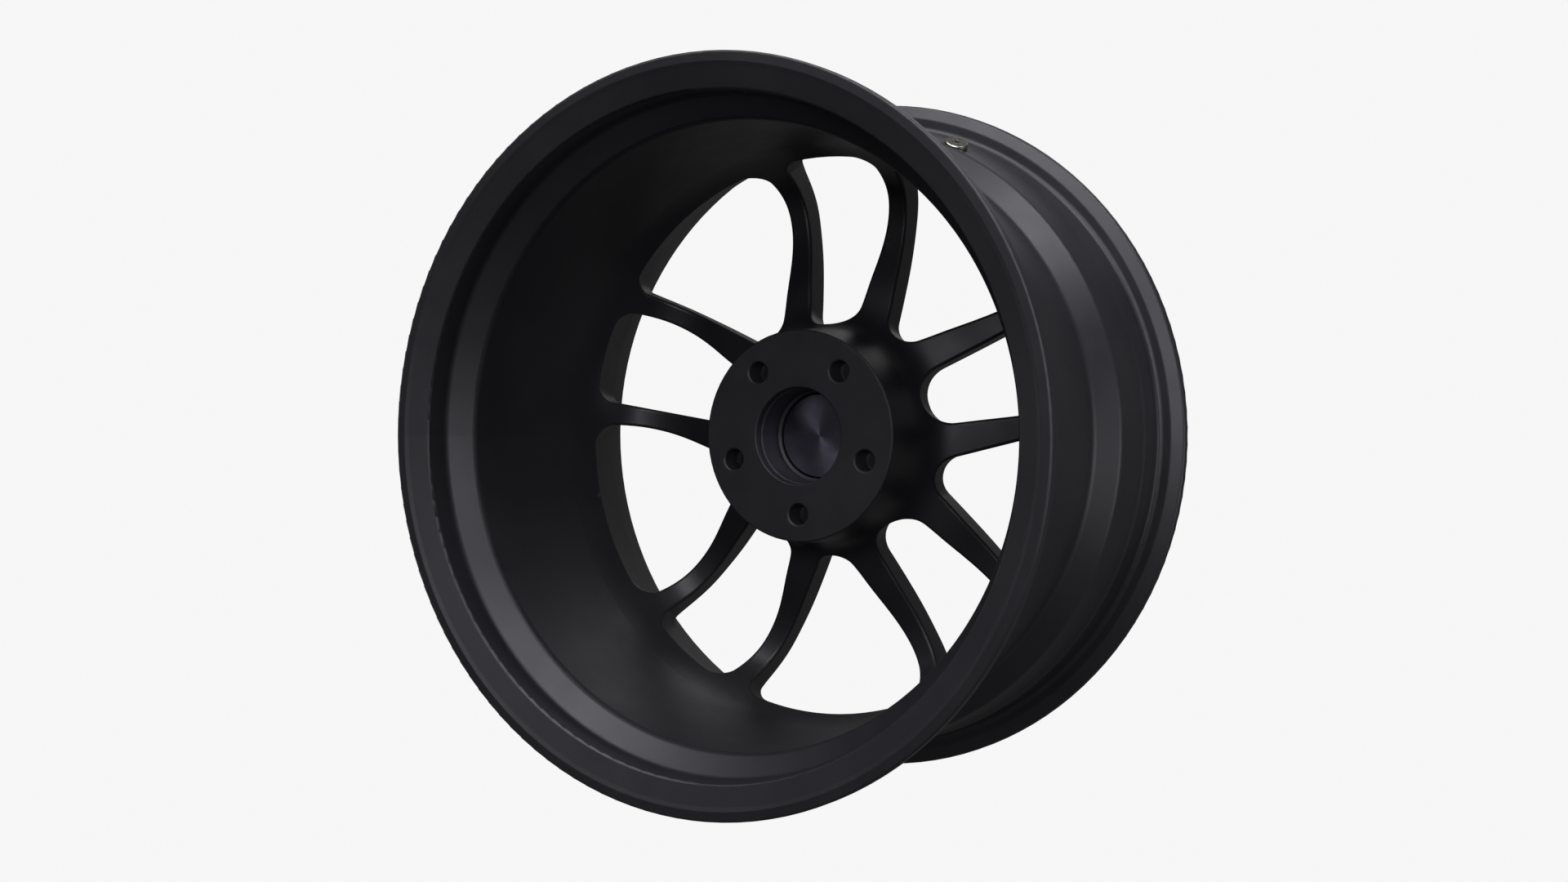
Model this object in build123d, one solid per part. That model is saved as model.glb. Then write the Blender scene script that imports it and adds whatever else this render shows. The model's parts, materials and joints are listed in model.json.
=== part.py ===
from build123d import *

import os
from math import atan, cos, hypot, pi, radians, sin, sqrt, tan

# Forged racing wheel, 18 x 9 inch, five bolts, with its centre cap, steel lug seats and clamp-in valve.
# The wheel turns about Y. Its inboard side, which bolts to the hub, faces +Y; its outboard side faces -Y.
# Z is up, and the origin is on the axis, halfway between the two rim flanges. Lengths are in millimetres.

# ---- Rim: the barrel that carries the tyre -------------------------------------------------------------
bead_width = 228.6            # between the flanges' inner faces, 9 inch
bead_radius = 231.0           # bead seat at the flange, 18 inch
flange_height = 17.8
flange_thickness = 12.4
flange_land = 8.3             # width of the flange's flat crown and outer edge together
bead_seat_width = 19.0
bead_seat_taper = 5.0         # degrees
hump_height = 1.0
hump_width = 8.0
ledge_drop = 3.0              # how far the ledge falls from the front hump to the drop well
front_ledge_width = 33.8
well_front_slope = 16.5       # width of the turn from the front ledge down into the well
well_front_depth = 19.0       # below the bead seat
well_rear_depth = 15.6
well_rear_slope = 14.0
rear_ledge_width = 3.3
rear_ledge_drop = 1.5

# ---- Rim, inner surface ---------------------------------------------------------------------------------
well_wall = 5.2
barrel_run_in = 15.0          # from the well's front to where the inner wall sweeps into the spokes
inner_cone_lead = 1.6         # from the rear ledge's end to the start of the inner cone
inner_cone_reach = 6.8        # from the rear hump's foot to the end of the inner cone
rear_seat_wall = 6.0
rear_lip_width = 6.9          # flat band at the flange's tip
lip_step = 1.4
lip_dish_depth = 7.0
lip_dish_wall = 5.8
front_lip_wall_thickness = 1.4
front_lip_depth = 3.2
front_lip_angle = 20.0        # degrees, opening outboard

# ---- Rim, rounds ----------------------------------------------------------------------------------------
lip_edge_round = 1.5
lip_step_round = 0.6
lip_step_root_round = 3.0
lip_dish_round = 2.0
flange_tip_round = 3.0
flange_root_round = 4.0
hump_round = 3.0
hump_foot_round = 2.0
front_ledge_round = 6.0
rear_ledge_round = 5.0
well_front_round = 8.0
well_rear_round = 10.0
inner_seat_round = 3.0
inner_cone_end_round = 6.0
inner_cone_start_round = 8.0

# ---- Spoked disc ----------------------------------------------------------------------------------------
spoke_rim_offset = 35.7       # from the outboard lip in to where the spokes' faces meet the rim
window_wall_offset = 78.1     # from the outboard lip in to where the windows open on the inboard side
window_wall_inset = 10.2      # from the well's tyre side in to a window's rim end, on the inboard side
hub_face_radius = 68.0
hub_flank_radius = 79.0
hub_flank_depth = 35.1        # from the mounting face to where the hub's flank turns out into the spokes
hub_neck_radius = 77.0
hub_neck_depth = 17.1
# The spokes bow away from a straight line from hub to rim: (share of the way out, bow towards -Y).
spoke_back_bow = [(0.073, 15.0), (0.27, 26.2), (0.465, 35.2), (0.66, 39.6), (0.806, 35.5), (0.928, 20.4)]
spoke_face_bow = [
    (0.133, 7.0), (0.294, 15.8), (0.454, 22.0), (0.614, 24.1), (0.748, 22.0), (0.861, 12.0), (0.935, 3.2)
]

# ---- Windows: a wide one faces each bolt, and a slim one lies between two bolts ---------------------------
lug_count = 5
window_edge_round = 2.2       # inboard edges
window_land = 2.0             # width of the face left between a window and the front lip
window_corner_round = 13.0    # rim corners where the cutter enters, on the inboard side
window_front_corner_round = 4.0
window_draft_depth = 70.1     # below the mounting face, where the windows have their stated widths
window_overrun = 14.6         # how far the cutters run past the spokes' inboard side at the rim
window_front_overrun = 10.7   # and how far from the outboard lip they stop
nose_roundness = 0.95         # share of the window's nose that is rounded
wide_nose_gap = 12.9          # from the hub pad's edge out to the nose
wide_nose_depth = 50.6
wide_nose_draft = 0.19        # the nose nears the hub by this much for each millimetre outboard
wide_middle_angle = 16.92     # degrees, half the window's width halfway out
wide_rim_angle = 20.95        # and at the rim
wide_side_draft = 0.12
slim_nose_gap = 4.6
slim_nose_depth = 45.6
slim_nose_draft = 0.27
slim_middle_angle = 11.85
slim_rim_angle = 10.98
slim_side_draft = 0.10
seam_width = 0.01

# ---- Hub ------------------------------------------------------------------------------------------------
pad_plane = -12.9             # mounting face, 13 mm outboard of the rim's middle
pad_radius = 75.5
pad_edge = 0.9
hub_thickness = 67.1
counterbore_radius = 34.6
counterbore_depth = 7.0
hub_bore_radius = 33.3
hub_register_length = 23.1
bore_edge = 0.7
lug_circle_radius = 56.0
lug_hole_radius = 7.5
lug_hole_edge = 1.0
lug_hole_depth = 17.0
lug_pocket_radius = 14.0
lug_pocket_overrun = 10.0

# ---- Steel lug seats ------------------------------------------------------------------------------------
seat_outer_radius = 12.5
seat_length = 10.0
seat_cone_radius = 11.0
seat_cone_angle = 60.0
seat_edge = 0.6
press_interference = 0.01

# ---- Centre cap -----------------------------------------------------------------------------------------
cap_radius = 31.2
cap_fit = 0.08
cap_back_gap = 2.0            # from the register's end to the cap's closed end
cap_back_thickness = 3.0
cap_back_edge = 1.3
cap_wall = 3.4
cap_flange_radius = 35.8
cap_flange_thickness = 4.5
cap_recess_clearance = 0.4
cap_recess_depth = 6.0
cap_face_radius = 32.4
cap_face_thickness = 2.4
cap_face_dome = 1.1
seal_section = 2.0
seal_offset = 6.5
seal_fit = 0.05
seal_side_clearance = 0.15
seal_floor_clearance = 0.1

# ---- Valve: heights are measured from its seat on the tyre side, in through the rim ------------------------
valve_window = 3              # which wide window the valve stands in, counted from the lowest
valve_angle_from_window = -10.0
valve_ledge_offset = 10.5     # from the front ledge's end
valve_tilt = 25.0
valve_wall = 5.0
valve_spotface_depth = 1.5
valve_spotface_radius = 9.2
valve_pocket_radius = 10.5
valve_hole_radius = 5.65
stem_radius = 4.8
stem_head_radius = 8.0
stem_head_thickness = 2.5
stem_head_edge = 0.6
stem_shank_end = 17.0
stem_shank_edge = 0.8
stem_tip_radius = 3.85
stem_tip_end = 32.0
stem_tip_edge = 0.5
stem_thread_bore = 2.65
stem_thread_bore_end = 25.0
stem_core_bore = 2.5
stem_core_bore_end = 9.0
stem_seat_step = 0.4
stem_airway = 1.75
grommet_thickness = 3.0
grommet_overhang = 0.4
grommet_sleeve = 3.6
grommet_clearance = 0.05
washer_radius = 8.2
washer_thickness = 1.2
nut_flats = 14.0
nut_thickness = 5.0
nut_corner_round = 0.8
nut_corner_width = 1.2
thread_clearance = 0.05

# ---- Valve core -----------------------------------------------------------------------------------------
core_head_clearance = 0.05
core_head_recess = 0.8        # the head lies this far below the stem's tip
core_tube_radius = 1.7
core_tube_end = 11.0
core_cavity_radius = 1.15
core_cavity_bottom = 12.2
core_cavity_top = 21.0
core_pin_hole = 0.75
core_slot_width = 1.4
core_slot_depth = 2.0
pin_radius = 0.6
pin_recess = 0.3              # the pin's end lies this far below the stem's tip
pin_edge = 0.2
pin_collar_radius = 1.05
pin_collar_thickness = 1.0
pin_collar_clearance = 0.2
cup_radius = 1.6
cup_thickness = 1.4
gasket_bottom = 20.0
gasket_top = 24.0
gasket_taper = 0.3
spring_wire = 0.26
spring_radius = 0.88
spring_turns = 6

# ---- Valve cap ------------------------------------------------------------------------------------------
valve_cap_radius = 5.4
valve_cap_length = 14.5
valve_cap_overhang = 3.0      # from the stem's tip to the cap's end
valve_cap_clearance = 0.05
valve_cap_roof = 1.6
valve_cap_grips = 18
valve_cap_grip_radius = 0.45
valve_cap_grip_share = 0.7    # of the cap's length
valve_cap_round = 0.8
cap_seal_clearance = 0.05
cap_seal_radius = 3.6

# ---- Worked-out sizes -----------------------------------------------------------------------------------
flange_radius = bead_radius + flange_height
half_width = bead_width / 2 + flange_thickness
seat_end_radius = bead_radius - bead_seat_width * tan(radians(bead_seat_taper))
front_seat_end = -bead_width / 2 + bead_seat_width
rear_seat_end = bead_width / 2 - bead_seat_width
ledge_radius = seat_end_radius - ledge_drop
front_ledge_start = front_seat_end + hump_width
front_ledge_end = front_ledge_start + front_ledge_width
well_front = front_ledge_end + well_front_slope
rear_ledge_end = rear_seat_end - hump_width - rear_ledge_width
well_rear = rear_ledge_end - well_rear_slope
well_front_radius = bead_radius - well_front_depth
well_rear_radius = bead_radius - well_rear_depth
front_lip_radius = bead_radius - front_lip_wall_thickness
front_lip_mouth = -half_width + front_lip_depth
barrel_front = well_front + barrel_run_in
spoke_rim_face = -half_width + spoke_rim_offset
window_wall_start = -half_width + window_wall_offset
window_wall_radius = well_front_radius - window_wall_inset
window_middle_radius = (pad_radius + window_wall_radius) / 2
cutter_inboard = window_wall_start + window_overrun
cutter_outboard = -half_width + window_front_overrun
hub_face = pad_plane - hub_thickness
register_start = pad_plane - counterbore_depth
hub_bore_end = register_start - hub_register_length
cap_back = hub_bore_end - cap_back_gap
cap_bore_radius = cap_radius + cap_fit
cap_recess_floor = hub_face + cap_recess_depth
lug_seat_top = pad_plane - lug_hole_depth
lug_angles = [-90 + 360 / lug_count * index for index in range(lug_count)]
core_head_radius = stem_thread_bore - core_head_clearance
core_head_top = stem_tip_end - core_head_recess
core_head_bottom = stem_thread_bore_end + pin_edge
pin_top = stem_tip_end - pin_recess
valve_cap_top = stem_tip_end + valve_cap_overhang
valve_cap_start = valve_cap_top - valve_cap_length


def on_axis(radius, start, length):
    """A cylinder about the wheel's axis, from y = start towards -Y."""
    return Location((0, start, 0), (90, 0, 0)) * Cylinder(
        radius, length, align=(Align.CENTER, Align.CENTER, Align.MIN)
    )


def turned(points):
    """A solid turned about the wheel's axis from the (radius, y) corners of its section."""
    return revolve(make_face(Polyline(*points, close=True)), Axis.Y)


def turned_on_z(points):
    """A solid turned about Z from the (radius, z) corners of its section."""
    section = make_face(Plane.XZ * Polyline(*points, close=True))
    return revolve(section, Axis.Z)


def around_axis(shape, angle):
    """The shape, drawn on the +Z side of the wheel's axis, moved to an angle measured from +X towards +Z."""
    return Rotation(0, 90 - angle, 0) * shape


# ---- Wheel forging --------------------------------------------------------------------------------------
def front_lip_wall(depth):
    """Radius of the outboard lip's inner wall at a depth y."""
    return front_lip_radius - (depth - front_lip_mouth) * tan(radians(front_lip_angle))


def window_wall(depth):
    """Radius of a window's rim end at a depth y: a cone that opens towards the outboard lip."""
    lip_end = front_lip_wall(spoke_rim_face) - window_land
    slope = (lip_end - window_wall_radius) / (window_wall_start - spoke_rim_face)
    return window_wall_radius + slope * (window_wall_start - depth)


def window_corner(depth):
    """Radius of a window's rim corners at a depth y, sharper towards the outboard side."""
    share = (cutter_inboard - depth) / (cutter_inboard - cutter_outboard)
    return window_corner_round + (window_front_corner_round - window_corner_round) * share


def barrel_line():
    """The barrel's section from the front lip over the tyre side to the inner wall: (radius, y, round)."""
    seat = bead_width / 2
    flange_waist = bead_radius + flange_height / 2
    crown = half_width - flange_land
    inner_seat = bead_radius - rear_seat_wall
    lip_band = flange_radius - rear_lip_width
    corners = [
        (front_lip_wall(spoke_rim_face), spoke_rim_face, 0),
        (front_lip_radius, front_lip_mouth, lip_edge_round),
        (lip_band, -half_width, lip_edge_round),
        (flange_radius, -half_width, flange_tip_round),
        (flange_radius, -crown, flange_tip_round),
        (flange_waist, -seat, flange_tip_round),
        (bead_radius, -seat, flange_root_round),
        (seat_end_radius, front_seat_end, hump_foot_round),
        (seat_end_radius + hump_height, front_seat_end + hump_width / 2, hump_round),
        (seat_end_radius, front_ledge_start, hump_foot_round),
        (ledge_radius, front_ledge_end, front_ledge_round),
        (well_front_radius, well_front, well_front_round),
        (well_rear_radius, well_rear, well_rear_round),
        (seat_end_radius - rear_ledge_drop, rear_ledge_end, rear_ledge_round),
        (seat_end_radius, rear_seat_end - hump_width, hump_foot_round),
        (seat_end_radius + hump_height, rear_seat_end - hump_width / 2, hump_round),
        (seat_end_radius, rear_seat_end, hump_foot_round),
        (bead_radius, seat, flange_root_round),
        (flange_waist, seat, flange_tip_round),
        (flange_radius, crown, flange_tip_round),
        (flange_radius, half_width, lip_edge_round),
        (lip_band, half_width, lip_step_round),
        (lip_band - 2 * lip_step, half_width - lip_step, lip_step_root_round),
        (bead_radius - lip_dish_wall, half_width - lip_dish_depth, lip_dish_round),
        (inner_seat, half_width - 2 * lip_dish_depth, inner_seat_round),
        (inner_seat, rear_seat_end + inner_cone_reach, inner_cone_end_round),
        (well_rear_radius - well_wall, rear_ledge_end + inner_cone_lead, inner_cone_start_round),
        (well_front_radius - well_wall, barrel_front, 0),
    ]
    points = [corner[:2] for corner in corners]
    rounds = [corner[2] for corner in corners[1:-1]]
    return FilletPolyline(*points, radius=rounds)


def bowed(start, end, bows):
    """Points between two (radius, y) points, each moved towards -Y from the straight line by its bow."""
    return [
        (start[0] + share * (end[0] - start[0]), start[1] + share * (end[1] - start[1]) - bow)
        for share, bow in bows
    ]


def spoke_back_line():
    """The inboard side of the spokes and the hub's flank, from the mounting face out to the barrel."""
    flank = (hub_flank_radius, pad_plane - hub_flank_depth)
    rim = (window_wall_radius, window_wall_start)
    return Spline(
        (pad_radius, pad_plane - pad_edge),
        (hub_neck_radius, pad_plane - hub_neck_depth),
        flank,
        *bowed(flank, rim, spoke_back_bow),
        rim,
        (well_front_radius - well_wall, barrel_front),
        tangents=[(0.05, -1), (0.05, 1)],
    )


def hub_line():
    """The mounting face, the bore and the hub's outboard face."""
    recess_radius = cap_flange_radius + cap_recess_clearance
    return Polyline(
        (pad_radius, pad_plane - pad_edge),
        (pad_radius - pad_edge, pad_plane),
        (counterbore_radius + bore_edge, pad_plane),
        (counterbore_radius, pad_plane - bore_edge),
        (counterbore_radius, register_start),
        (hub_bore_radius + bore_edge, register_start),
        (hub_bore_radius, register_start - bore_edge),
        (hub_bore_radius, hub_bore_end),
        (cap_bore_radius, hub_bore_end - bore_edge),
        (cap_bore_radius, cap_recess_floor),
        (recess_radius, cap_recess_floor),
        (recess_radius, hub_face),
        (hub_face_radius, hub_face),
    )


def spoke_face_line():
    """The outboard face: dished out from the hub to a crest, then falling back to the front lip."""
    hub = (hub_face_radius, hub_face)
    rim = (front_lip_wall(spoke_rim_face), spoke_rim_face)
    return Spline(hub, *bowed(hub, rim, spoke_face_bow), rim, tangents=[(1, -0.2), (1, 0.1)])


class Window:
    """One of the two window shapes between the spokes, drawn on the +Z side of the axis."""

    def __init__(self, nose_gap, nose_depth, nose_draft, middle_angle, rim_angle, side_draft):
        self.nose_radius = pad_radius + nose_gap
        self.nose_depth = pad_plane - nose_depth
        self.nose_draft = nose_draft
        self.side_draft = side_draft
        self.middle_half = window_middle_radius * tan(radians(middle_angle))
        rim_half = window_wall_radius * sin(radians(rim_angle))
        rim_height = window_wall_radius * cos(radians(rim_angle))
        self.side_slope = (rim_half - self.middle_half) / (rim_height - window_middle_radius)

    def half_width(self, height, depth):
        """Half the window's width at a height z and a depth y."""
        widening = self.side_draft * (pad_plane - window_draft_depth - depth)
        return self.middle_half + widening + self.side_slope * (height - window_middle_radius)

    def rim_corner(self, nose, nose_half, rim):
        """Where a side, drawn from the nose's corner, meets the rim."""
        length = hypot(1, self.side_slope)
        along = (nose_half * self.side_slope + nose) / length
        reach = sqrt(along**2 - nose_half**2 - nose**2 + rim**2) - along
        return (nose_half + reach * self.side_slope / length, nose + reach / length)

    def outline(self, depth):
        """The window's section at a depth y."""
        nose = self.nose_radius - self.nose_draft * (self.nose_depth - depth)
        nose_half = self.half_width(nose, depth)
        rim = window_wall(depth)
        corner = self.rim_corner(nose, nose_half, rim)
        turn = pi / 2 - atan(self.side_slope)
        nose_round = nose_roundness * nose_half / tan(turn / 2)
        line = Polyline((-corner[0], corner[1]), (-nose_half, nose), (nose_half, nose), corner)
        arc = ThreePointArc(corner, (0, rim), (-corner[0], corner[1]))
        section = make_face([line, arc])
        section = fillet(section.vertices().sort_by(Axis.Y)[:2], nose_round)
        section = fillet(section.vertices().sort_by(Axis.Y)[-2:], window_corner(depth))
        return Plane(origin=(0, depth, 0), x_dir=(1, 0, 0), z_dir=(0, -1, 0)) * section

    def cutter(self):
        """The window as a solid that runs past both sides of the spokes."""
        return loft([self.outline(cutter_inboard), self.outline(cutter_outboard)], ruled=True)


def window_rim_edges(face):
    """The edges that the windows leave on a turned face: neither circles nor the face's own seam at Z = 0."""
    edges = face.edges().filter_by(GeomType.CIRCLE, reverse=True)
    return edges.filter_by(lambda edge: abs(edge.center().Z) > seam_width)


def inboard_face(shape):
    """The inboard face that the windows pass through."""
    pierced = shape.faces().filter_by(lambda face: len(face.inner_wires()) >= lug_count)
    return pierced.sort_by(Axis.Y)[-1]


def lug_hole():
    """The cutter of one bolt hole: chamfered mouth, clearance hole, seat socket and nut pocket."""
    seat_start = lug_seat_top - pad_plane
    seat_end = seat_start - seat_length
    pocket_end = -hub_thickness - lug_pocket_overrun
    return turned_on_z(
        [
            (0, lug_hole_edge),
            (lug_hole_radius + lug_hole_edge, lug_hole_edge),
            (lug_hole_radius + lug_hole_edge, 0),
            (lug_hole_radius, -lug_hole_edge),
            (lug_hole_radius, seat_start),
            (seat_outer_radius, seat_start),
            (seat_outer_radius, seat_end),
            (lug_pocket_radius, seat_end),
            (lug_pocket_radius, pocket_end),
            (0, pocket_end),
        ]
    )


def at_lug(shape, angle):
    """A shape drawn about Z, its top at Z = 0, set under the mounting face at a bolt's place."""
    upright = Rotation(-90, 0, 0) * shape
    return around_axis(Pos(0, pad_plane, lug_circle_radius) * upright, angle)


def ledge_radius_at(depth):
    """Radius of the front ledge, on the tyre side, at a depth y."""
    share = (depth - front_ledge_start) / (front_ledge_end - front_ledge_start)
    return seat_end_radius - ledge_drop * share


def valve_plane():
    """The valve's own frame: origin on its tyre-side seat, Z pointing in through the rim to the tip."""
    seat_depth = front_ledge_end - valve_ledge_offset
    seat_radius = ledge_radius_at(seat_depth) - valve_spotface_depth
    inward = (0, -sin(radians(valve_tilt)), -cos(radians(valve_tilt)))
    return Plane(origin=(0, seat_depth, seat_radius), x_dir=(1, 0, 0), z_dir=inward)


def at_valve(shape):
    """A shape drawn about Z in the valve's frame, set in the rim."""
    return around_axis(valve_plane() * shape, lug_angles[valve_window] + valve_angle_from_window)


def valve_hole():
    """The cutter of the valve hole, its tyre-side spot face and its pocket under the nut."""
    return turned_on_z(
        [
            (0, -2 * valve_spotface_radius),
            (valve_spotface_radius, -2 * valve_spotface_radius),
            (valve_spotface_radius, 0),
            (valve_hole_radius, 0),
            (valve_hole_radius, valve_wall),
            (valve_pocket_radius, valve_wall),
            (valve_pocket_radius, stem_tip_end),
            (0, stem_tip_end),
        ]
    )


def wheel_forging():
    """Barrel, spokes and hub, forged and machined from one billet."""
    lines = [barrel_line(), spoke_back_line(), hub_line(), spoke_face_line()]
    blank = revolve(make_face(lines), Axis.Y)
    wide = Window(
        wide_nose_gap, wide_nose_depth, wide_nose_draft, wide_middle_angle, wide_rim_angle, wide_side_draft
    ).cutter()
    slim = Window(
        slim_nose_gap, slim_nose_depth, slim_nose_draft, slim_middle_angle, slim_rim_angle, slim_side_draft
    ).cutter()
    half_pitch = 180 / lug_count
    cutters = [around_axis(wide, angle) for angle in lug_angles]
    cutters += [around_axis(slim, angle + half_pitch) for angle in lug_angles]
    wheel = blank - cutters
    wheel = fillet(window_rim_edges(inboard_face(wheel)), window_edge_round)
    holes = [at_lug(lug_hole(), angle) for angle in lug_angles]
    return wheel - holes - at_valve(valve_hole())


# ---- Lug seats ------------------------------------------------------------------------------------------
def lug_seat():
    """A steel bush with a conical seat for the nut, pressed in from the outboard side."""
    top = lug_seat_top - pad_plane
    bottom = top - seat_length
    outer = seat_outer_radius + press_interference
    cone_top = bottom + (seat_cone_radius - lug_hole_radius) / tan(radians(seat_cone_angle / 2))
    return turned_on_z(
        [
            (lug_hole_radius, top),
            (outer - seat_edge, top),
            (outer, top - seat_edge),
            (outer, bottom + seat_edge),
            (outer - seat_edge, bottom),
            (seat_cone_radius, bottom),
            (lug_hole_radius, cone_top),
        ]
    )


# ---- Centre cap -----------------------------------------------------------------------------------------
def seal_depths():
    """The y of the two seal grooves in the cap's barrel."""
    return [cap_back - seal_offset, cap_recess_floor + seal_offset]


def centre_cap_body():
    """A turned cup, closed at its inboard end, with a flange that seats in the hub's outboard face."""
    inside = cap_radius - cap_wall
    flange_front = cap_recess_floor - cap_flange_thickness
    face_seat = flange_front + cap_face_thickness
    body = turned(
        [
            (0, cap_back),
            (cap_radius - cap_back_edge, cap_back),
            (cap_radius, cap_back - cap_back_edge),
            (cap_radius, cap_recess_floor),
            (cap_flange_radius, cap_recess_floor),
            (cap_flange_radius, flange_front + cap_back_edge),
            (cap_flange_radius - cap_back_edge, flange_front),
            (cap_face_radius, flange_front),
            (cap_face_radius, face_seat),
            (inside, face_seat),
            (inside, cap_back - cap_back_thickness),
            (0, cap_back - cap_back_thickness),
        ]
    )
    floor = cap_bore_radius - seal_fit - seal_section - seal_floor_clearance
    half = seal_section / 2 + seal_side_clearance
    grooves = [
        turned(
            [
                (floor, depth - half),
                (cap_radius + seal_section, depth - half),
                (cap_radius + seal_section, depth + half),
                (floor, depth + half),
            ]
        )
        for depth in seal_depths()
    ]
    return body - grooves


def centre_cap_face():
    """A plain domed disc pressed into the front of the cap."""
    front = cap_recess_floor - cap_flange_thickness
    edge = cap_face_radius + press_interference
    dome_radius = (edge**2 + cap_face_dome**2) / (2 * cap_face_dome)
    disc = on_axis(edge, front + cap_face_thickness, cap_face_thickness + cap_face_dome)
    return disc & Pos(0, front - cap_face_dome + dome_radius, 0) * Sphere(dome_radius)


def centre_cap_seal(depth):
    """A rubber ring that grips the hub's bore."""
    centre = cap_bore_radius - seal_fit - seal_section / 2
    ring = Torus(centre, seal_section / 2)
    return Pos(0, depth, 0) * Rotation(90, 0, 0) * ring


# ---- Valve, drawn about Z: 0 is the tyre-side seat and the tip is at +Z ----------------------------------
def valve_stem():
    """The metal stem, with its head on the tyre side and a stepped bore for the core."""
    head_top = -grommet_thickness
    head_bottom = head_top - stem_head_thickness
    return turned_on_z(
        [
            (stem_airway, head_bottom),
            (stem_head_radius - stem_head_edge, head_bottom),
            (stem_head_radius, head_bottom + stem_head_edge),
            (stem_head_radius, head_top),
            (stem_radius, head_top),
            (stem_radius, stem_shank_end - stem_shank_edge),
            (stem_radius - stem_shank_edge, stem_shank_end),
            (stem_tip_radius, stem_shank_end),
            (stem_tip_radius, stem_tip_end - stem_tip_edge),
            (stem_tip_radius - stem_tip_edge, stem_tip_end),
            (stem_thread_bore, stem_tip_end),
            (stem_thread_bore, stem_thread_bore_end),
            (stem_core_bore, stem_thread_bore_end - stem_seat_step),
            (stem_core_bore, stem_core_bore_end + stem_core_bore - stem_airway),
            (stem_airway, stem_core_bore_end),
        ]
    )


def valve_grommet():
    """The rubber seal between the stem's head and the rim, with a sleeve that centres it in the hole."""
    inner = stem_radius + grommet_clearance
    rim = stem_head_radius + grommet_overhang
    sleeve = valve_hole_radius - grommet_clearance
    return turned_on_z(
        [
            (inner, -grommet_thickness),
            (rim, -grommet_thickness),
            (rim, 0),
            (sleeve, 0),
            (sleeve, grommet_sleeve),
            (inner, grommet_sleeve),
        ]
    )


def valve_washer():
    """The flat washer under the nut."""
    bottom = valve_wall
    top = bottom + washer_thickness
    inner = stem_radius + thread_clearance
    return turned_on_z([(inner, bottom), (washer_radius, bottom), (washer_radius, top), (inner, top)])


def valve_nut():
    """The hexagon nut that clamps the stem, its upper corners rounded off."""
    bottom = valve_wall + washer_thickness
    corner = nut_flats / sqrt(3)
    hexagon = extrude(RegularPolygon(nut_flats / 2, 6, major_radius=False), nut_thickness)
    bore = stem_radius + thread_clearance
    envelope = turned_on_z(
        [
            (bore, 0),
            (corner + thread_clearance, 0),
            (corner + thread_clearance, nut_thickness - nut_corner_round),
            (corner - nut_corner_width, nut_thickness),
            (bore, nut_thickness),
        ]
    )
    return Pos(0, 0, bottom) * (hexagon & envelope)


def valve_core_body():
    """The brass core: a slotted threaded head over a tube that cages the spring."""
    body = turned_on_z(
        [
            (core_pin_hole, core_tube_end),
            (core_tube_radius, core_tube_end),
            (core_tube_radius, core_head_bottom),
            (core_head_radius, core_head_bottom),
            (core_head_radius, core_head_top),
            (core_pin_hole, core_head_top),
            (core_pin_hole, core_cavity_top),
            (core_cavity_radius, core_cavity_top),
            (core_cavity_radius, core_cavity_bottom),
            (core_pin_hole, core_cavity_bottom),
        ]
    )
    slot = Pos(0, 0, core_head_top) * Box(3 * core_head_radius, core_slot_width, 2 * core_slot_depth)
    return body - slot


def valve_core_gasket():
    """The seal ring around the core's tube."""
    return turned_on_z(
        [
            (core_tube_radius, gasket_bottom),
            (stem_core_bore - gasket_taper, gasket_bottom),
            (stem_core_bore, gasket_top),
            (core_tube_radius, gasket_top),
        ]
    )


def valve_core_pin():
    """The pin that opens the valve when it is pressed, with the collar that the spring lifts."""
    collar_top = core_cavity_top - pin_collar_clearance
    collar_bottom = collar_top - pin_collar_thickness
    return turned_on_z(
        [
            (0, core_tube_end - cup_thickness),
            (pin_radius, core_tube_end - cup_thickness),
            (pin_radius, collar_bottom),
            (pin_collar_radius, collar_bottom),
            (pin_collar_radius, collar_top),
            (pin_radius, collar_top),
            (pin_radius, pin_top - pin_edge),
            (pin_radius - pin_edge, pin_top),
            (0, pin_top),
        ]
    )


def valve_core_cup():
    """The rubber seat on the pin's lower end that closes the core."""
    top = core_tube_end
    bottom = top - cup_thickness
    return turned_on_z([(pin_radius, bottom), (cup_radius, bottom), (cup_radius, top), (pin_radius, top)])


def valve_core_spring():
    """The coil spring between the core's cage and the pin's collar."""
    collar_bottom = core_cavity_top - pin_collar_clearance - pin_collar_thickness
    wire = spring_wire / 2
    height = collar_bottom - core_cavity_bottom - spring_wire
    path = Pos(0, 0, core_cavity_bottom + wire) * Helix(height / spring_turns, height, spring_radius)
    section = Plane(origin=path @ 0, z_dir=path % 0) * Circle(wire)
    return sweep(section, path=path, is_frenet=True)


def valve_cap():
    """The screw-on dust cap, fluted for the fingers."""
    inner = stem_tip_radius + valve_cap_clearance
    roof = valve_cap_top - valve_cap_roof
    cap = turned_on_z(
        [
            (inner, valve_cap_start),
            (valve_cap_radius, valve_cap_start),
            (valve_cap_radius, valve_cap_top - valve_cap_round),
            (valve_cap_radius - valve_cap_round, valve_cap_top),
            (0, valve_cap_top),
            (0, roof),
            (inner, roof),
        ]
    )
    flute = Cylinder(valve_cap_grip_radius, valve_cap_length * valve_cap_grip_share)
    reach = valve_cap_radius + valve_cap_grip_radius / 2
    grip = Pos(reach, 0, valve_cap_start + valve_cap_length / 2) * flute
    step = 360 / valve_cap_grips
    return cap - [Rotation(0, 0, step * index) * grip for index in range(valve_cap_grips)]


def valve_cap_seal():
    """The rubber disc inside the cap that seals on the stem's tip."""
    bottom = stem_tip_end + cap_seal_clearance
    top = valve_cap_top - valve_cap_roof - cap_seal_clearance
    return Pos(0, 0, (bottom + top) / 2) * Cylinder(cap_seal_radius, top - bottom)


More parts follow.
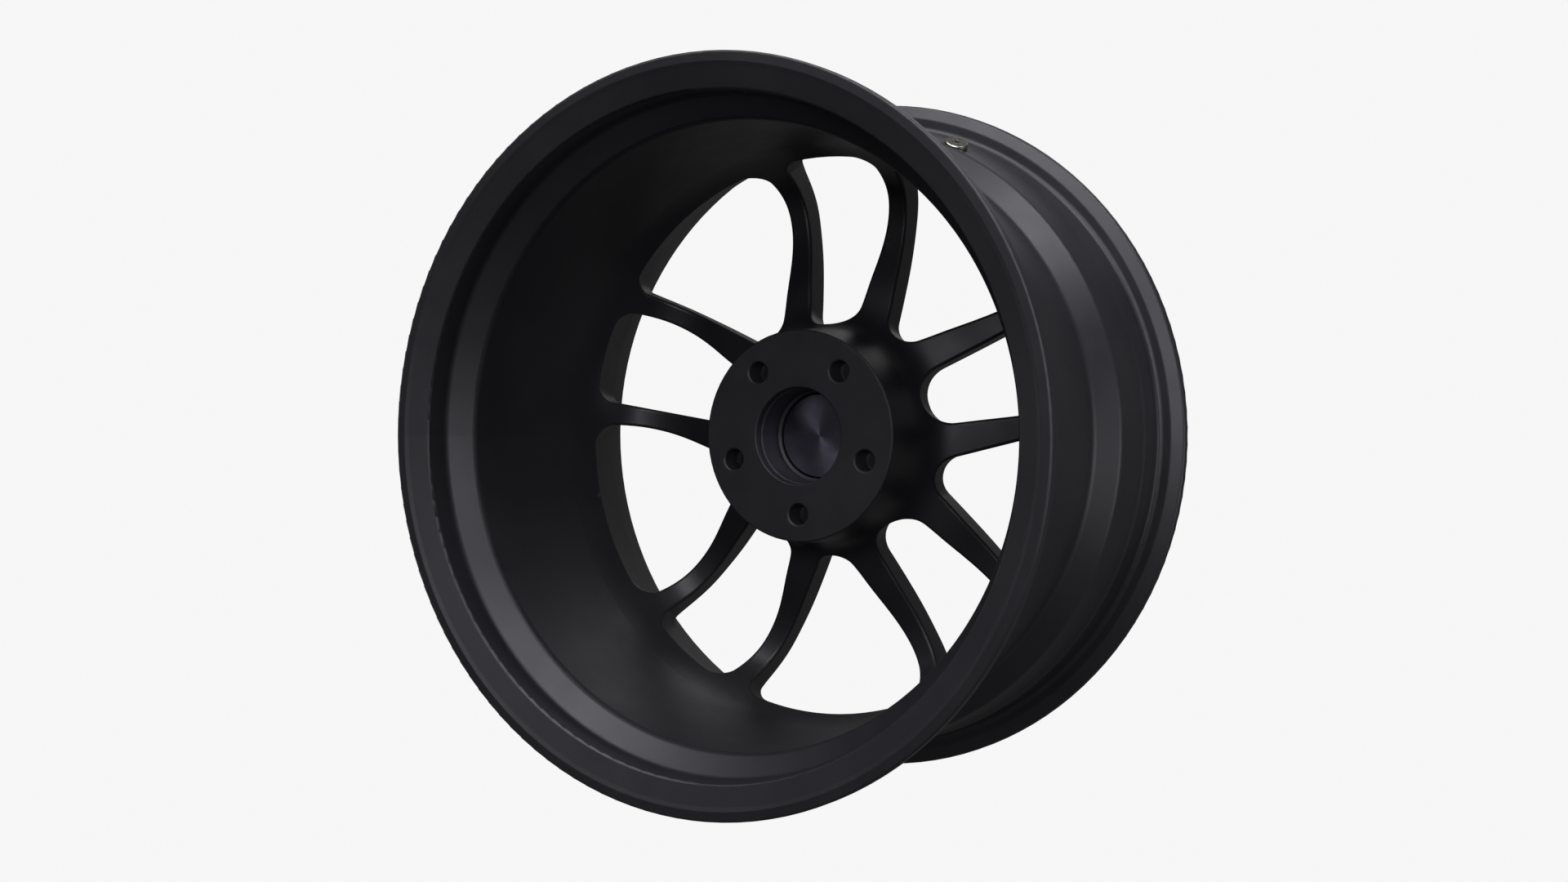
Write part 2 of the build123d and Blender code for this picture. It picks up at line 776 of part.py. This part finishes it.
# ---- Write one file per piece ---------------------------------------------------------------------------
nodes = {
    "wheel_forging": wheel_forging(),
    "centre_cap_body": centre_cap_body(),
    "centre_cap_face": centre_cap_face(),
    "valve_stem": at_valve(valve_stem()),
    "valve_grommet": at_valve(valve_grommet()),
    "valve_washer": at_valve(valve_washer()),
    "valve_nut": at_valve(valve_nut()),
    "valve_core_body": at_valve(valve_core_body()),
    "valve_core_gasket": at_valve(valve_core_gasket()),
    "valve_core_pin": at_valve(valve_core_pin()),
    "valve_core_cup": at_valve(valve_core_cup()),
    "valve_core_spring": at_valve(valve_core_spring()),
    "valve_cap": at_valve(valve_cap()),
    "valve_cap_seal": at_valve(valve_cap_seal()),
}
for side, depth in zip(("inboard", "outboard"), seal_depths()):
    nodes[f"centre_cap_seal_{side}"] = centre_cap_seal(depth)
for number, angle in enumerate(lug_angles, start=1):
    nodes[f"lug_seat_{number}"] = at_lug(lug_seat(), angle)

os.makedirs("parts", exist_ok=True)
for name, shape in nodes.items():
    export_step(shape, f"parts/{name}.step")
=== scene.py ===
import json
from math import cos, radians, sin, tau

import bpy
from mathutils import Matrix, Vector


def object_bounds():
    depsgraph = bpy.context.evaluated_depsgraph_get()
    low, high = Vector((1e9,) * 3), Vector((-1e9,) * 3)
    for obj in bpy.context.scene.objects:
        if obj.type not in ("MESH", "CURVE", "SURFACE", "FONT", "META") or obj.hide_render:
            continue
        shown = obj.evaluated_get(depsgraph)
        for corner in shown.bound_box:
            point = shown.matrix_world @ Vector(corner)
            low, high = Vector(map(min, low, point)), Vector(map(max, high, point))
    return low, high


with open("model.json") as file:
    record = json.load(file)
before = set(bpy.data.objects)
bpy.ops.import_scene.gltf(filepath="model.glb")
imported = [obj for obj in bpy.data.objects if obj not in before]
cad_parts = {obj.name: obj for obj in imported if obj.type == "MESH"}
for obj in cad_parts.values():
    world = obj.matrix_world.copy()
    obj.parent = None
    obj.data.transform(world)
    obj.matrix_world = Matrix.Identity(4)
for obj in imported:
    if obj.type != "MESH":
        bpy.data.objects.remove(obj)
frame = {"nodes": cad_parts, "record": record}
cad_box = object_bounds()

# The forged wheel stands with its axis along Y, its inboard side facing +Y. Lengths are in metres.

# ---- Camera ---------------------------------------------------------------------------------------------
CAMERA_AZIMUTH = 209.91       # degrees; 0 looks along +Y, 90 along -X
CAMERA_ELEVATION = 0.49
CAMERA_DISTANCE = 1.3365
CAMERA_LENS = 43.58           # mm, on a 36 mm wide sensor
SENSOR_WIDTH = 36.0
AIM_RIGHT = -0.0033           # where the camera aims, from the wheel's centre
AIM_UP = -0.0036

# ---- Stage and light ------------------------------------------------------------------------------------
STAGE_RADIUS = 12.0           # of the pale dome around the wheel, whose flat base is the floor
STAGE_GREY = 0.926            # linear; a bright studio sweep
STAGE_SEGMENTS = 64
STAGE_RINGS = 32
AMBIENT = 0.09
LIGHT_DISTANCE = 2.2
LIGHT_SIZE = 1.2
# Soft round lamps, each aimed at the wheel's centre: direction from the centre, and watts.
LAMPS = {
    "overhead": ((0.20, 0.00, 0.98), 8),
    "top_rear": ((0.04, 0.44, 0.90), 17),
    "high_rear": ((-0.33, 0.64, 0.69), 13),
    "camera_side": ((-0.63, 0.76, 0.15), 12),
    "top_right": ((-0.52, 0.00, 0.85), 19),
    "left_side": ((0.98, -0.10, 0.03), 11),
    "rear": ((-0.12, 0.93, 0.35), 7),
    "high_left": ((0.50, 0.45, 0.74), 6),
    "right_side": ((-0.93, -0.10, -0.12), 8),
    "front_fill": ((0.10, -0.85, 0.50), 2),
}

# ---- Finishes -------------------------------------------------------------------------------------------
POWDER_COLOUR = (0.0102, 0.0100, 0.0128)
POWDER_DUSTY = (0.0146, 0.0143, 0.0174)
# painted edge highlight: a lighter coat colour laid along the forging's sharp edges
POWDER_EDGE_HIGHLIGHT = (0.035, 0.034, 0.041)
POWDER_SHEEN = (0.95, 0.93, 1.0, 1)
POWDER_EDGE_RADIUS = 0.0007
POWDER_ROUGHNESS = (0.385, 0.455)
POWDER_FLOW_SCALE = 220       # the coat's slow waves
POWDER_PEEL_SCALE = 1100      # and its fine orange peel
POWDER_PEEL_DEPTH = 0.00002
POWDER_DUST_SCALE = 9
POWDER_SMUDGE_SCALE = 38
POWDER_SPECKLE_SCALE = 900
POWDER_RUB_SCALE = 140
CAP_COLOUR = (0.155, 0.150, 0.205)
CAP_GROOVE_PITCH = 0.0009
CAP_GROOVE_DEPTH = 0.000008
CAP_EDGE_RADIUS = 0.0004
CAP_ROUGHNESS = 0.33
CAP_ANISOTROPY = 0.8
SEAT_COLOUR = (0.34, 0.34, 0.345)
NICKEL_COLOUR = (0.60, 0.58, 0.54)
BRASS_COLOUR = (0.66, 0.48, 0.20)
RUBBER_COLOUR = (0.014, 0.014, 0.015)
RUBBER_GRAIN_DEPTH = 0.00002
ANODISED_COLOUR = (0.018, 0.018, 0.021)
ANODISED_WORN = (0.11, 0.11, 0.115)
VALVE_CAP_EDGE_RADIUS = 0.0003
FINE_GRAIN_DEPTH = 0.000008
SCRATCH_DEPTH = 0.000006
EDGE_FLAT = 0.995             # how far the rounded normal agrees with a flat face's
EDGE_SHARP = 0.90             # and with a sharp edge's
BEVEL_SAMPLES = 4


# ---- Node helpers ---------------------------------------------------------------------------------------
class Surface:
    """A material with its Principled shader and short calls for the nodes that feed it."""

    def __init__(self, name):
        self.material = bpy.data.materials.new(name)
        self.material.use_nodes = True
        self.tree = self.material.node_tree
        self.shader = self.tree.nodes["Principled BSDF"]
        self.place = self.tree.nodes.new("ShaderNodeTexCoord").outputs["Object"]

    def link(self, source, target):
        self.tree.links.new(source, target)

    def set(self, **values):
        for name, value in values.items():
            self.shader.inputs[name.replace("_", " ")].default_value = value

    def noise(self, scale, detail=3.0, roughness=0.5):
        """Noise from 0 to 1 in the piece's own metres."""
        node = self.tree.nodes.new("ShaderNodeTexNoise")
        node.inputs["Scale"].default_value = scale
        node.inputs["Detail"].default_value = detail
        node.inputs["Roughness"].default_value = roughness
        self.link(self.place, node.inputs["Vector"])
        return node.outputs["Fac"]

    def remap(self, source, low, high, to_low, to_high):
        """The value low..high stretched to to_low..to_high and held there."""
        node = self.tree.nodes.new("ShaderNodeMapRange")
        node.inputs["From Min"].default_value = low
        node.inputs["From Max"].default_value = high
        node.inputs["To Min"].default_value = to_low
        node.inputs["To Max"].default_value = to_high
        self.link(source, node.inputs["Value"])
        return node.outputs["Result"]

    def arithmetic(self, operation, first, second):
        """A math node on a socket and a socket or number."""
        node = self.tree.nodes.new("ShaderNodeMath")
        node.operation = operation
        self.link(first, node.inputs[0])
        if isinstance(second, (int, float)):
            node.inputs[1].default_value = second
        else:
            self.link(second, node.inputs[1])
        return node.outputs["Value"]

    def mix(self, share, first, second):
        """A colour between two colours, either of which may be a socket."""
        node = self.tree.nodes.new("ShaderNodeMix")
        node.data_type = "RGBA"
        self.link(share, node.inputs["Factor"])
        for socket, colour in ((node.inputs["A"], first), (node.inputs["B"], second)):
            self.feed_colour(socket, colour)
        return node.outputs["Result"]

    def feed_colour(self, socket, colour):
        """A colour or a socket into a colour input."""
        if isinstance(colour, tuple):
            socket.default_value = (*colour, 1)
        else:
            self.link(colour, socket)

    def bump(self, height, depth, strength, normal=None):
        """A normal raised by a height of 0 to 1 over a depth in metres."""
        node = self.tree.nodes.new("ShaderNodeBump")
        node.inputs["Distance"].default_value = depth
        node.inputs["Strength"].default_value = strength
        self.link(height, node.inputs["Height"])
        if normal:
            self.link(normal, node.inputs["Normal"])
        return node.outputs["Normal"]

    def soft_edge(self, radius):
        """A normal that rounds sharp edges by a radius."""
        node = self.tree.nodes.new("ShaderNodeBevel")
        node.samples = BEVEL_SAMPLES
        node.inputs["Radius"].default_value = radius
        return node.outputs["Normal"]

    def edge_share(self, rounded):
        """From 0 on a flat face to 1 on a sharp edge, from the edge-rounded normal."""
        face = self.tree.nodes.new("ShaderNodeNewGeometry").outputs["Normal"]
        node = self.tree.nodes.new("ShaderNodeVectorMath")
        node.operation = "DOT_PRODUCT"
        self.link(rounded, node.inputs[0])
        self.link(face, node.inputs[1])
        return self.remap(node.outputs["Value"], EDGE_FLAT, EDGE_SHARP, 0.0, 1.0)

    def axis_radius(self):
        """Distance from the wheel's axis, in metres."""
        split = self.tree.nodes.new("ShaderNodeSeparateXYZ")
        join = self.tree.nodes.new("ShaderNodeCombineXYZ")
        self.link(self.place, split.inputs["Vector"])
        self.link(split.outputs["X"], join.inputs["X"])
        self.link(split.outputs["Z"], join.inputs["Y"])
        node = self.tree.nodes.new("ShaderNodeVectorMath")
        node.operation = "LENGTH"
        self.link(join.outputs["Vector"], node.inputs[0])
        return node.outputs["Value"]

    def base(self, colour):
        self.feed_colour(self.shader.inputs["Base Color"], colour)

    def roughness(self, socket):
        self.link(socket, self.shader.inputs["Roughness"])

    def normal(self, socket):
        self.link(socket, self.shader.inputs["Normal"])


# ---- Finishes -------------------------------------------------------------------------------------------
def forging_black():
    """Satin black powder coat over a forged and machined wheel, a little dusty, its sharp edges lightened
    in patches as a painted highlight.
    """
    coat = Surface("forging_black")
    rounded = coat.soft_edge(POWDER_EDGE_RADIUS)
    dust = coat.remap(coat.noise(POWDER_DUST_SCALE, 5, 0.6), 0.42, 0.68, 0.0, 1.0)
    patchy = coat.remap(coat.noise(POWDER_RUB_SCALE, 4), 0.35, 0.65, 0.15, 0.9)
    # Painted highlight: the coat's colour is lightened in patches along sharp edges, standing in for
    # bright edge lines.
    lighter_edges = coat.arithmetic("MULTIPLY", coat.edge_share(rounded), patchy)
    coat.base(coat.mix(lighter_edges, coat.mix(dust, POWDER_COLOUR, POWDER_DUSTY), POWDER_EDGE_HIGHLIGHT))
    smudge = coat.remap(coat.noise(POWDER_SMUDGE_SCALE, 5, 0.65), 0.3, 0.7, *POWDER_ROUGHNESS)
    speckle = coat.remap(coat.noise(POWDER_SPECKLE_SCALE, 2), 0.3, 0.7, -0.015, 0.015)
    coat.roughness(coat.arithmetic("ADD", smudge, speckle))
    flow = coat.bump(coat.noise(POWDER_FLOW_SCALE, 2), POWDER_PEEL_DEPTH, 0.5, rounded)
    coat.normal(coat.bump(coat.noise(POWDER_PEEL_SCALE, 2), POWDER_PEEL_DEPTH, 0.45, flow))
    coat.set(Specular_IOR_Level=0.5, Specular_Tint=POWDER_SHEEN)
    return coat.material


def turned_metal(name, colour, roughness, anisotropy):
    """Metal turned on a lathe about the wheel's axis, with fine concentric grooves."""
    metal = Surface(name)
    tint = metal.remap(metal.noise(60, 4), 0.3, 0.7, 0.0, 1.0)
    metal.base(metal.mix(tint, colour, tuple(channel * 0.82 for channel in colour)))
    metal.roughness(metal.remap(metal.noise(180, 4, 0.6), 0.3, 0.7, roughness - 0.04, roughness + 0.05))
    turns = metal.arithmetic("MULTIPLY", metal.axis_radius(), tau / CAP_GROOVE_PITCH)
    groove = metal.arithmetic("SINE", turns, 0.0)
    metal.normal(metal.bump(groove, CAP_GROOVE_DEPTH, 0.6, metal.soft_edge(CAP_EDGE_RADIUS)))
    tangent = metal.tree.nodes.new("ShaderNodeTangent")
    tangent.direction_type = "RADIAL"
    tangent.axis = "Y"
    metal.link(tangent.outputs["Tangent"], metal.shader.inputs["Tangent"])
    metal.set(Metallic=1.0, Anisotropic=anisotropy)
    return metal.material


def plated_metal(name, colour, roughness, edge_radius):
    """Plated or bare metal with faint blotches and fine handling scratches."""
    metal = Surface(name)
    tarnish = metal.remap(metal.noise(420, 4, 0.6), 0.35, 0.7, 0.0, 1.0)
    metal.base(metal.mix(tarnish, colour, tuple(channel * 0.7 for channel in colour)))
    metal.roughness(metal.remap(metal.noise(700, 3), 0.3, 0.7, roughness - 0.05, roughness + 0.08))
    metal.normal(metal.bump(metal.noise(2600, 2), SCRATCH_DEPTH, 0.5, metal.soft_edge(edge_radius)))
    metal.set(Metallic=1.0)
    return metal.material


def seal_rubber():
    """Matt moulded rubber with a fine grain."""
    rubber = Surface("seal_rubber")
    bloom = rubber.remap(rubber.noise(500, 4), 0.4, 0.75, 0.0, 1.0)
    rubber.base(rubber.mix(bloom, RUBBER_COLOUR, tuple(channel * 2 for channel in RUBBER_COLOUR)))
    rubber.roughness(rubber.remap(rubber.noise(900, 3), 0.3, 0.7, 0.62, 0.8))
    rubber.normal(rubber.bump(rubber.noise(3000, 2), RUBBER_GRAIN_DEPTH, 0.5))
    rubber.set(Specular_IOR_Level=0.35)
    return rubber.material


def valve_cap_black():
    """Black anodised aluminium, rubbed to a lighter grey on the flutes' edges."""
    cap = Surface("valve_cap_black")
    rounded = cap.soft_edge(VALVE_CAP_EDGE_RADIUS)
    patchy = cap.remap(cap.noise(800, 3), 0.35, 0.65, 0.2, 1.0)
    lighter_edges = cap.arithmetic("MULTIPLY", cap.edge_share(rounded), patchy)
    cap.base(cap.mix(lighter_edges, ANODISED_COLOUR, ANODISED_WORN))
    cap.roughness(cap.remap(cap.noise(1200, 3), 0.3, 0.7, 0.28, 0.4))
    cap.normal(cap.bump(cap.noise(4000, 2), FINE_GRAIN_DEPTH, 0.5, rounded))
    cap.set(Metallic=0.6)
    return cap.material


def materials():
    """One material for each of the record's slots."""
    return {
        "forging_black": forging_black(),
        "seat_steel": plated_metal("seat_steel", SEAT_COLOUR, 0.36, 0.0004),
        "cap_aluminium": turned_metal("cap_aluminium", CAP_COLOUR, CAP_ROUGHNESS, CAP_ANISOTROPY),
        "seal_rubber": seal_rubber(),
        "valve_metal": plated_metal("valve_metal", NICKEL_COLOUR, 0.24, 0.0002),
        "core_brass": plated_metal("core_brass", BRASS_COLOUR, 0.28, 0.0001),
        "valve_cap_black": valve_cap_black(),
    }


def dress_pieces():
    """Each CAD piece gets the finish of its slot."""
    finishes = materials()
    slots = {part["node"]: part["material_slot"] for part in frame["record"]["subparts"]}
    for name, piece in frame["nodes"].items():
        piece.data.materials.clear()
        piece.data.materials.append(finishes[slots[name]])


# ---- Stage, lamps and camera ----------------------------------------------------------------------------
def stage_material():
    """An even pale grey that the wheel's shadows and the lamps don't change."""
    material = bpy.data.materials.new("stage_pale")
    material.use_nodes = True
    tree = material.node_tree
    tree.nodes.remove(tree.nodes["Principled BSDF"])
    glow = tree.nodes.new("ShaderNodeEmission")
    glow.inputs["Color"].default_value = (STAGE_GREY, STAGE_GREY, STAGE_GREY, 1)
    tree.links.new(glow.outputs["Emission"], tree.nodes["Material Output"].inputs["Surface"])
    return material


def add_stage():
    """A pale dome and, level with the wheel's lowest point, the floor it stands on."""
    floor = cad_box[0][2]
    bpy.ops.mesh.primitive_uv_sphere_add(
        segments=STAGE_SEGMENTS, ring_count=STAGE_RINGS, radius=STAGE_RADIUS, location=(0, 0, floor)
    )
    dome = bpy.context.object
    dome.name = "stage_dome"
    bpy.ops.mesh.primitive_circle_add(
        vertices=STAGE_SEGMENTS, radius=STAGE_RADIUS, fill_type="NGON", location=(0, 0, floor)
    )
    ground = bpy.context.object
    ground.name = "stage_floor"
    finish = stage_material()
    for piece in (dome, ground):
        piece.data.materials.append(finish)
        piece.visible_diffuse = False
        piece.visible_glossy = False
        piece.visible_shadow = False


def add_lamps():
    """Round soft lamps around the wheel."""
    for name, (direction, watts) in LAMPS.items():
        data = bpy.data.lights.new(name, "AREA")
        data.shape = "DISK"
        data.size = LIGHT_SIZE
        data.energy = watts
        lamp = bpy.data.objects.new(name, data)
        bpy.context.scene.collection.objects.link(lamp)
        away = Vector(direction).normalized()
        lamp.location = away * LIGHT_DISTANCE
        lamp.rotation_mode = "QUATERNION"
        lamp.rotation_quaternion = (-away).to_track_quat("-Z", "Y")
        lamp.visible_camera = False


def add_camera():
    """A camera at the wheel's rear three-quarter view, level with its axis."""
    azimuth = radians(CAMERA_AZIMUTH)
    elevation = radians(CAMERA_ELEVATION)
    back = Vector((sin(azimuth) * cos(elevation), -cos(azimuth) * cos(elevation), sin(elevation)))
    right = Vector((cos(azimuth), sin(azimuth), 0))
    up = back.cross(right)
    data = bpy.data.cameras.new("camera")
    data.lens = CAMERA_LENS
    data.sensor_width = SENSOR_WIDTH
    data.clip_end = 4 * STAGE_RADIUS
    camera = bpy.data.objects.new("camera", data)
    bpy.context.scene.collection.objects.link(camera)
    camera.location = right * AIM_RIGHT + up * AIM_UP + back * CAMERA_DISTANCE
    camera.rotation_mode = "QUATERNION"
    camera.rotation_quaternion = (-back).to_track_quat("-Z", "Y")
    bpy.context.scene.camera = camera


def set_world():
    """A faint even light from all around, besides the lamps'."""
    world = bpy.data.worlds.new("studio")
    world.use_nodes = True
    background = world.node_tree.nodes["Background"]
    background.inputs["Color"].default_value = (1, 1, 1, 1)
    background.inputs["Strength"].default_value = AMBIENT
    bpy.context.scene.world = world
    bpy.context.scene.view_settings.view_transform = "Standard"


dress_pieces()
add_stage()
add_lamps()
add_camera()
set_world()
